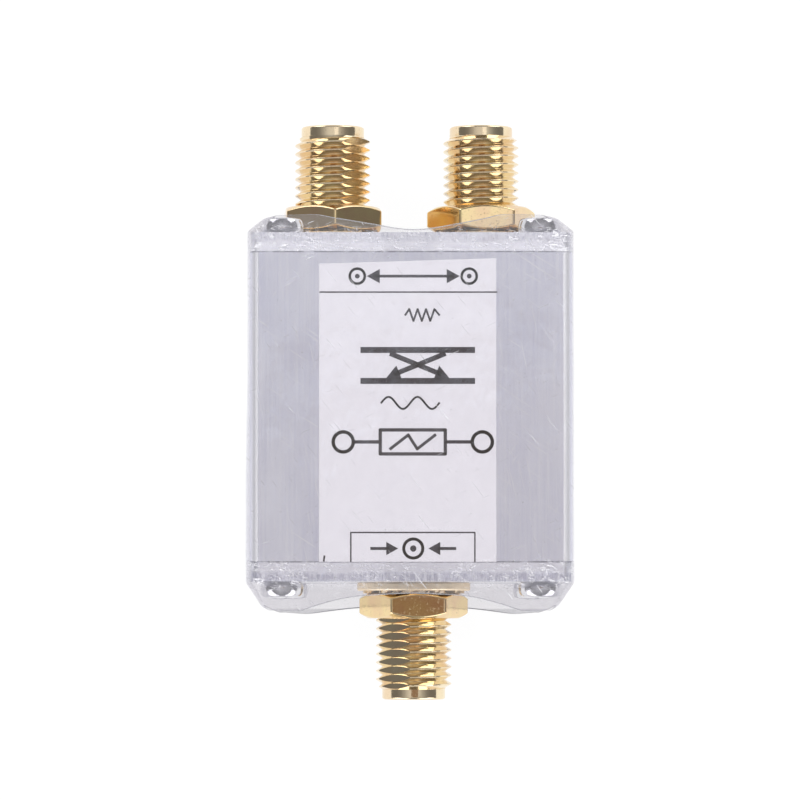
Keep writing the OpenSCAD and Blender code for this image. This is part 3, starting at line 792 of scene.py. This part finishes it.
class Print:
    """Ink shapes on the label, gathered into one thin mesh."""

    def __init__(self):
        self.verts, self.faces = [], []

    def shape(self, points):
        low, high = LABEL_HI.z - 0.01, LABEL_HI.z + 0.006
        first, count = len(self.verts), len(points)
        for z in (low, high):
            self.verts += [(*label_point(*p), z) for p in points]
        self.faces.append([first + i for i in range(count)])
        self.faces.append([first + count + i for i in range(count)])
        self.faces += [(first + i, first + (i + 1) % count, first + count + (i + 1) % count, first + count + i)
                       for i in range(count)]

    def line(self, points, width):
        """A stroke with square ends, in overlapping straight pieces."""
        for (ax, ay), (bx, by) in zip(points, points[1:]):
            size = math.hypot(bx - ax, by - ay)
            dx, dy = (bx - ax) / size * width / 2, (by - ay) / size * width / 2
            self.shape([(ax - dx * 0.6 - dy, ay - dy * 0.6 + dx), (ax - dx * 0.6 + dy, ay - dy * 0.6 - dx),
                        (bx + dx * 0.6 + dy, by + dy * 0.6 - dx), (bx + dx * 0.6 - dy, by + dy * 0.6 + dx)])

    def ring(self, x, y, r, width, count=40):
        pts = [(x + r * math.cos(a), y + r * math.sin(a)) for a in np.linspace(0, 2 * math.pi, count + 1)]
        self.line(pts, width)

    def dot(self, x, y, r, count=28):
        self.shape(circle(x, y, r, count))

    def arrow(self, x, y, dx, dy, size):
        """A filled head whose tip is at x, y."""
        self.shape([(x, y), (x - dx * size - dy * size * 0.55, y - dy * size + dx * size * 0.55),
                    (x - dx * size + dy * size * 0.55, y - dy * size - dx * size * 0.55)])


def build_label():
    """Paper slip cut to the CAD's slanted outline, and generic signs printed on it."""
    lo, hi = LABEL_LO, LABEL_HI
    corners = [(v.co.x / MM, v.co.y / MM) for v in NODES["label"].data.vertices if v.co.z / MM > hi.z - 0.02]
    left = max(y for x, y in corners if x < lo.x + 0.1)
    right = max(y for x, y in corners if x > hi.x - 0.1)
    across, along = 40, 64
    verts, faces = [], []
    for z in (lo.z, hi.z):
        for j in range(along + 1):
            for i in range(across + 1):
                u, v = i / across, j / along
                top = left + (right - left) * u
                verts.append((lo.x + (hi.x - lo.x) * u, lo.y + (top - lo.y) * v, z))
    row, layer = across + 1, (across + 1) * (along + 1)
    for j in range(along):
        for i in range(across):
            a = j * row + i
            faces.append((a, a + row, a + row + 1, a + 1))
            faces.append((layer + a, layer + a + 1, layer + a + row + 1, layer + a + row))
    rim = list(range(row)) + [j * row + across for j in range(1, along + 1)]
    rim += [along * row + i for i in range(across - 1, -1, -1)] + [j * row for j in range(along - 1, 0, -1)]
    for a, b in zip(rim, rim[1:] + rim[:1]):
        faces.append((a, b, layer + b, layer + a))
    piece("label_dressed", verts, faces, PAPER, "label", smooth=40)
    ink = Print()
    # Rules, and a stray mark
    ink.line([(319.6, 292), (496.4, 292)], 1.5)
    ink.line([(350.6, 561.6), (350.6, 532.5), (474.5, 532.5), (474.5, 561.6)], 1.5)
    ink.line([(324.3, 556), (323.6, 561)], 1.9)
    # Through line between two ports
    for x in (357, 469):
        ink.ring(x, 276, 7.5, 2.6)
        ink.dot(x, 276, 2.4)
    ink.line([(374, 276), (452, 276)], 2.8)
    ink.arrow(366.5, 276, -1, 0, 13)
    ink.arrow(459.5, 276, 1, 0, 13)
    # Matched load
    zig = [(405, 315)] + [(409 + 4.2 * k, 315 + (6 if k % 2 else -6)) for k in range(7)] + [(439, 315)]
    ink.line(zig, 2.0)
    # Coupler: two lines with crossed arrows between
    for y in (350, 381):
        ink.line([(362, y), (473, y)], 6)
    ink.line([(391, 354), (440, 374)], 5)
    ink.line([(444, 354), (395, 374)], 5)
    ink.arrow(449, 378, 0.926, 0.378, 14)
    ink.arrow(386, 378, -0.926, 0.378, 14)
    # Wave
    wave = [(381 + 58 * k / 40, 403 - 6 * math.sin(2 * math.pi * k / 20)) for k in range(41)]
    ink.line(wave, 2.0)
    # Line through a block
    ink.ring(343, 442, 10, 3.4)
    ink.line([(353, 442), (379, 442)], 3.4)
    ink.line([(380, 430), (445, 430), (445, 454), (380, 454), (380, 430)], 3.4)
    ink.line([(390, 449), (408, 435), (417, 449), (435, 435)], 3.0)
    ink.line([(446, 442), (471, 442)], 3.4)
    ink.ring(482, 442, 10, 3.4)
    # Sample port
    ink.ring(413, 548.5, 9.5, 3.0)
    ink.dot(413, 548.5, 3.2)
    for x, way in ((385, 1), (441, -1)):
        ink.line([(x - 14 * way, 548.5), (x + 3 * way, 548.5)], 3.0)
        ink.arrow(x + 13 * way, 548.5, way, 0, 12)
    piece("label_print", ink.verts, ink.faces, INK, None)


# Film

FILM_T = 0.09
# How each free lip leans in: by a share of its reach, and more past a point
LEAN = {"top": (1.25, 6, 1.1), "low": (0.66, 2.2, 1.9)}


def film_section(half_x, half_z, r, walk):
    """Points of a rounded rectangle, walked by (cx, cz, nx, nz) steps."""
    cx, cz, nx, nz = walk.T
    return cx * (half_x - r) + r * nx, cz * (half_z - r) + r * nz


def film_walk(per_side=64, per_corner=9):
    """Clockwise from the upper left corner of the face: face, right side, back, left side."""
    sides = [((-1, 1), (1, 1), (0, 1)), ((1, 1), (1, -1), (1, 0)),
             ((1, -1), (-1, -1), (0, -1)), ((-1, -1), (-1, 1), (-1, 0))]
    walk, at = [], []
    for k, (a, b, n) in enumerate(sides):
        for t in np.linspace(0, 1, per_side + 1):
            ease = 0.5 - 0.5 * math.cos(math.pi * t)
            t = 0.6 * t + 0.4 * ease
            walk.append((a[0] + (b[0] - a[0]) * t, a[1] + (b[1] - a[1]) * t, *n))
            at.append(k + t)
        first = math.atan2(n[1], n[0])
        for j in range(1, per_corner):
            turn = first - math.pi / 2 * j / per_corner
            walk.append((*b, math.cos(turn), math.sin(turn)))
            at.append(k + 1.0)
    return np.array(walk), np.array(at)


def soft_wave(x, y, seed, count=9, low=0.3, high=1.4):
    """A smooth repeatable ripple from a handful of sines."""
    rng = np.random.default_rng(seed)
    total = np.zeros(np.broadcast(x, y).shape)
    for _ in range(count):
        k = rng.uniform(low, high)
        turn = rng.uniform(0, 2 * math.pi)
        total = total + np.sin(k * (x * math.cos(turn) + y * math.sin(turn)) + rng.uniform(0, 2 * math.pi))
    return total / math.sqrt(count)


# Reach of the film's free edge past each plate, by place around it: 0 to 1 on the face, then side, back and side
INPUT_EDGE = [(0, 1.42), (0.123, 1.56), (0.26, 1.1), (0.407, 0.52), (0.474, 0.16), (0.545, 0.16), (0.666, 0.74),
              (0.743, 1.07), (0.834, 1.5), (0.925, 1.56), (1, 1.45), (1.5, 1.0), (2, 1.45), (2.3, 0.7), (2.5, 0.4),
              (2.7, 0.7), (3, 1.45), (3.5, 1.0), (4, 1.42)]
SAMPLE_EDGE = [(0, 2.3), (0.05, 2.5), (0.1, 2.4), (0.2, 1.75), (0.3, 1.2), (0.5, 0.9), (0.7, 1.15), (0.8, 1.75),
               (0.9, 2.4), (0.95, 2.5), (1, 2.3), (1.5, 1.9), (2, 2.4), (2.04, 2.65), (2.1, 2.55), (2.3, 2.05),
               (2.5, 1.88), (2.7, 2.05), (2.9, 2.55), (2.96, 2.65), (3, 2.4), (3.5, 1.9), (4, 2.3)]


def edge_reach(at, table):
    """Smoothed reach at each place around the film."""
    s, v = zip(*table)
    fine = np.linspace(0, 4, 401)[:-1]
    value = np.interp(fine, s, v)
    kernel = np.exp(-0.5 * (np.arange(-10, 11) / 3.5) ** 2)
    smooth = np.convolve(np.concatenate([value[-20:], value, value[:20]]), kernel / kernel.sum(), "same")[20:-20]
    return np.interp(at, np.append(fine, 4), np.append(smooth, smooth[0]))


def build_bead(name, outer, inner, behind):
    """A fine round bead along a free edge."""
    radius, sides = 0.06, 8
    across = outer - inner
    across /= np.linalg.norm(across, axis=1)[:, None]
    onward = outer - behind
    onward /= np.linalg.norm(onward, axis=1)[:, None]
    middle = (outer + inner) / 2
    rings = []
    for k in range(sides):
        turn = 2 * math.pi * k / sides
        rings.append(middle + radius * (math.cos(turn) * across + math.sin(turn) * onward))
    faces = rings_to_faces(sides, len(outer), closed=True)
    piece(name, np.concatenate(rings), faces, FILM_EDGE, None, smooth=60)


def build_film():
    """Shrunk sleeve with a little slack at its sides, ripples near the plates and a loose lip past each plate."""
    walk, at = film_walk()
    half_x, half_z = FILM_HI.x, (FILM_HI.z - FILM_LO.z) / 2
    mid_z = (FILM_HI.z + FILM_LO.z) / 2
    top_edge, low_edge = edge_reach(at, INPUT_EDGE), edge_reach(at, SAMPLE_EDGE)
    nx, nz = walk[:, 2], walk[:, 3]
    rows = []
    half_side, fine_from, ripple_at, ripple_width, soft = 13.4, 12.2, 13.6, 1.1, 0.12
    body = np.concatenate([np.linspace(-PLATE_FACE, -fine_from, 12)[:-1], np.linspace(-fine_from, fine_from, 44)[:-1],
                           np.linspace(fine_from, PLATE_FACE, 12)])
    lips = 12
    steps = [("low", q) for q in np.linspace(1, 0, lips + 1)[:-1]]
    steps += [("body", y) for y in body]
    steps += [("top", q) for q in np.linspace(0, 1, lips + 1)[1:]]
    around = at * half_side * 2
    for kind, value in steps:
        if kind == "body":
            y = np.full(len(at), value)
            past = np.zeros(len(at))
            lean_x = lean_z = np.zeros(len(at))
        else:
            reach = top_edge if kind == "top" else low_edge
            past = reach * value
            y = (PLATE_FACE + past) * (1 if kind == "top" else -1)
            bend = np.sqrt(past ** 2 + soft ** 2) - soft
            share, more, more_from = LEAN[kind]
            lean_x = bend * share + more * np.clip(past - more_from, 0, 1) ** 2
            lean_z = bend * 0.8
        # Slack at the sides, most of it low on the left
        slack = 0.16 - 0.14 * (nx < -0.5) * np.clip((4 - y) / 10, 0, 1) + 0.05 * (nx > 0.5)
        slack = slack * np.abs(nx) + 0.02 * np.abs(nz)
        near = np.exp(-((np.abs(y) - ripple_at) / ripple_width) ** 2)
        ripple = 0.018 * soft_wave(around, y, 5) + 0.03 * near * soft_wave(around, y, 8, high=3.2, low=1.2)
        inset = np.clip(slack + ripple * np.clip(past + 0.55, 0.5, 1.5), 0.005, 0.3)
        x, z = film_section(half_x - lean_x, half_z - lean_z, 0.85 - np.minimum(0.3, 0.2 * past), walk)
        rows.append(np.column_stack([x - nx * inset, y, mid_z + z - nz * inset]))
    columns, count = len(at), len(rows)
    outer = np.concatenate(rows)
    inner = outer.copy()
    inner[:, 0] -= np.tile(nx, count) * FILM_T
    inner[:, 2] -= np.tile(nz, count) * FILM_T
    faces = rings_to_faces(count, columns)
    shift = len(outer)
    faces += shifted([f[::-1] for f in faces], shift)
    for j in (0, count - 1):
        for i in range(columns):
            a, b = j * columns + i, j * columns + (i + 1) % columns
            faces.append((a, b, shift + b, shift + a))
    piece("clear_film_dressed", np.concatenate([outer, inner]), faces, FILM, "clear_film", smooth=50)
    for name, at_row, next_row in (("input", count - 1, count - 2), ("sample", 0, 1)):
        rim = slice(at_row * columns, (at_row + 1) * columns)
        behind = slice(next_row * columns, (next_row + 1) * columns)
        build_bead(f"clear_film_{name}_edge", outer[rim], inner[rim], outer[behind])


def dress_cad_nodes():
    """Nodes whose shape is right get their finish."""
    finishes = {"line_wire": COPPER, "solder_joints": TIN, "tap_resistor": TAP, "load_resistor": LOAD}
    for jack in SIDES:
        finishes[f"{jack}_jack_insulator"] = PTFE
        finishes[f"{jack}_jack_contact"] = GOLD
    for node, material in finishes.items():
        obj = NODES[node]
        obj.data.materials.clear()
        obj.data.materials.append(material)


build_tube()
build_plate("input_end_plate", 1, ["left", "right"])
build_plate("sample_end_plate", -1, ["sample"])
build_screws("input_plate_screws", 1, 18)
build_screws("sample_plate_screws", -1, 52)
for jack, flat_turn, nut_turn, phase in (("left", 46.5, 3.5, 0.48), ("right", 200, 37, 0.76),
                                         ("sample", 36, 24, 0.84)):
    build_shell(jack, flat_turn, phase)
    build_nut(jack, nut_turn)
    build_washer(jack)
build_label()
build_film()
dress_cad_nodes()


# Stage

def build_floor():
    """A plain white floor that glows a little, so that it stays white around the part."""
    mesh = bpy.data.meshes.new("floor")
    size = 3.0
    mesh.from_pydata([(-size, -size, 0), (size, -size, 0), (size, size, 0), (-size, size, 0)], [], [(0, 1, 2, 3)])
    obj = put("floor", mesh)
    f = Finish("floor_white", (0.1, 0.1, 0.1), roughness=0.9, specular=0.0)
    f.set("Emission Color", (1, 1, 1, 1))
    f.set("Emission Strength", 0.93)
    mesh.materials.append(f.material)


def build_world():
    """A grey room that gets lighter towards the top, by the sine of the elevation."""
    world = bpy.data.worlds.new("studio")
    bpy.context.scene.world = world
    world.use_nodes = True
    tree = world.node_tree
    coords = tree.nodes.new("ShaderNodeTexCoord")
    split = tree.nodes.new("ShaderNodeSeparateXYZ")
    ramp = tree.nodes.new("ShaderNodeValToRGB")
    tree.links.new(coords.outputs["Generated"], split.inputs[0])
    tree.links.new(split.outputs["Z"], ramp.inputs[0])
    tree.links.new(ramp.outputs[0], tree.nodes["Background"].inputs["Color"])
    stops = [(0.0, 0.2), (0.174, 0.19), (0.438, 0.19), (0.669, 0.25), (0.848, 0.43), (0.961, 0.69), (1.0, 0.76)]
    while len(ramp.color_ramp.elements) < len(stops):
        ramp.color_ramp.elements.new(0.5)
    for element, (at, level) in zip(ramp.color_ramp.elements, stops):
        element.position = at
        element.color = (level, level, level * 1.02, 1)


def softbox(name, azimuth, elevation, distance, width, height, watts):
    """An oblong light aimed at the object, placed by its bearing from +Y towards +X."""
    data = bpy.data.lights.new(name, "AREA")
    data.shape = "RECTANGLE"
    data.size, data.size_y = width, height
    data.energy = watts
    obj = put(name, data)
    a, e = math.radians(azimuth), math.radians(elevation)
    way = Vector((math.sin(a) * math.cos(e), math.cos(a) * math.cos(e), math.sin(e)))
    obj.location = way * distance + Vector((0, 0, AXIS_Z * MM))
    obj.rotation_mode = "QUATERNION"
    obj.rotation_quaternion = way.to_track_quat("Z", "Y")
    return obj


def build_flag():
    """A dark oval card above the camera, which keeps the polished faces below it from going white."""
    half_x, half_y, x, y, z, count = 0.105, 0.05, 0.03, -0.022, 0.47, 48
    turns = np.arange(count) * 2 * math.pi / count
    verts = [(half_x * math.cos(a) + x, half_y * math.sin(a) + y, z) for a in turns]
    mesh = bpy.data.meshes.new("flag")
    mesh.from_pydata(verts, [], [list(range(count))])
    obj = put("flag", mesh)
    mesh.materials.append(Finish("flag_dark", (0.29, 0.2, 0.14), roughness=0.9, specular=0.0).material)


def build_camera():
    """A long lens that looks down on the label, a little from the sample jack's end."""
    elevation, distance = math.radians(87.6), 0.4368
    data = bpy.data.cameras.new("camera")
    data.sensor_width = 36
    data.lens = 240.4
    data.clip_start, data.clip_end = 0.01, 10
    obj = put("camera", data)
    back = Vector((0, -math.cos(elevation), math.sin(elevation)))
    aim = Vector((-0.9, 0.53, FACE_Z)) * MM
    obj.location = aim + back * distance
    obj.rotation_mode = "QUATERNION"
    obj.rotation_quaternion = back.to_track_quat("Z", "Y")
    bpy.context.scene.camera = obj


build_floor()
build_flag()
build_world()
polished = bpy.data.collections.new("polished")
for obj in bpy.data.objects:
    if obj.type == "MESH" and obj.data.materials and obj.data.materials[0] in (GOLD, NUT_GOLD, WASHER, SCREW):
        polished.objects.link(obj)
# Low boxes draw the bright lines on turned and plated metal; the sheet metal and paper would only glare in them
for bearing, elevation, width, height, watts in ((137, 19, 1.06, 0.56, 5.0), (-137, 19, 1.06, 0.56, 5.0),
                                                 (36, 16, 0.58, 0.54, 2.6), (-36, 16, 0.58, 0.54, 2.6)):
    low_box = softbox(f"softbox_{bearing % 360}", bearing, elevation, 1.0, width, height, watts)
    low_box.light_linking.receiver_collection = polished
softbox("overhead", 53, 74, 0.46, 0.10, 0.10, 0.013)
softbox("fill", 0, 90, 0.8, 0.8, 0.8, 9.2).visible_glossy = False
build_camera()
bpy.context.scene.view_settings.view_transform = "Standard"
